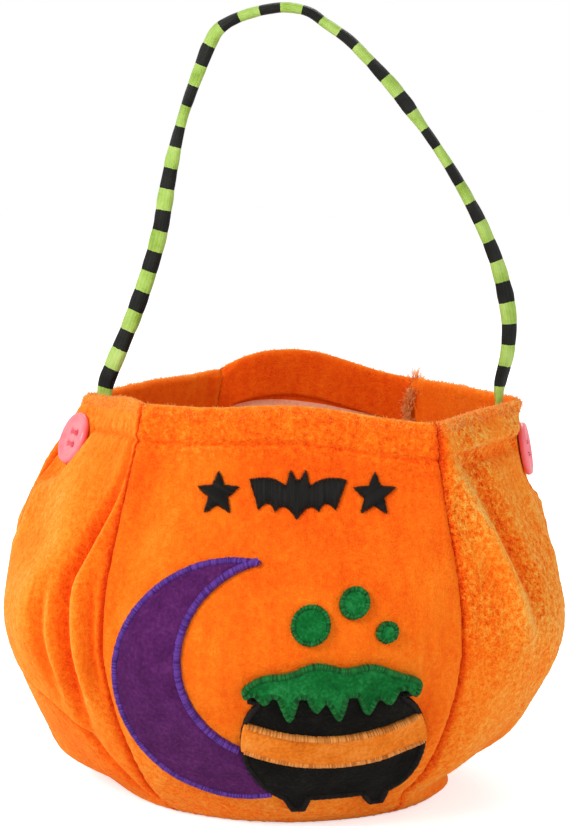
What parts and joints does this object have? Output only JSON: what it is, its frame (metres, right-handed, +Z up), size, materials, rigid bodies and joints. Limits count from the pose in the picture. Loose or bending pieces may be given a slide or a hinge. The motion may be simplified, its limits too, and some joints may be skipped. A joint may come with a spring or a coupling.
{
  "type": "pumpkin candy bag",
  "caption": "Small round bag of gored orange velour with a flat base, a hemmed open mouth, felt appliques, side buttons and a swinging striped ribbon handle.",
  "frame": {"origin": "centre of the underside of the flat base panel", "axes": "+Z up through the mouth, -Y towards the decorated front panel, +X towards the right-hand button seen from the front"},
  "size_m": [0.1882, 0.1699, 0.2656],
  "materials": {
    "velour": "orange crushed velour, short soft pile",
    "ribbon": "satin ribbon in lime green and black bands",
    "core": "stiff bendable piping core",
    "button": "pink moulded plastic",
    "button_thread": "rose sewing thread",
    "purple_felt": "purple felt with a violet satin-stitched edge",
    "black_felt": "black felt with a black satin-stitched edge",
    "orange_felt": "orange felt with pale stitching",
    "green_felt": "green felt with a dark green stitched edge",
    "black_thread": "black satin-stitch embroidery thread"
  },
  "bodies": {
    "bag": {"front_panel": "velour", "front_right_panel": "velour", "back_right_panel": "velour", "back_panel": "velour", "back_left_panel": "velour", "front_left_panel": "velour", "base_panel": "velour", "moon_patch": "purple_felt", "pot_patch": "black_felt", "pot_band": "orange_felt", "brew_patch": "green_felt", "large_bubble": "green_felt", "middle_bubble": "green_felt", "small_bubble": "green_felt", "embroidered_bat": "black_thread", "left_star": "black_thread", "right_star": "black_thread", "left_button": "button", "right_button": "button", "left_button_thread": "button_thread", "right_button_thread": "button_thread", "left_handle_end": "ribbon", "right_handle_end": "ribbon"},
    "handle": {"handle_core": "core", "handle_ribbon": "ribbon"}
  },
  "joints": [
    {"name": "handle_swing", "type": "hinge", "parent": "bag", "child": "handle", "pos_m": [0.0063, -0.0003, 0.137], "axis": [1, 0, 0], "range_deg": [-65, 65]}
  ]
}
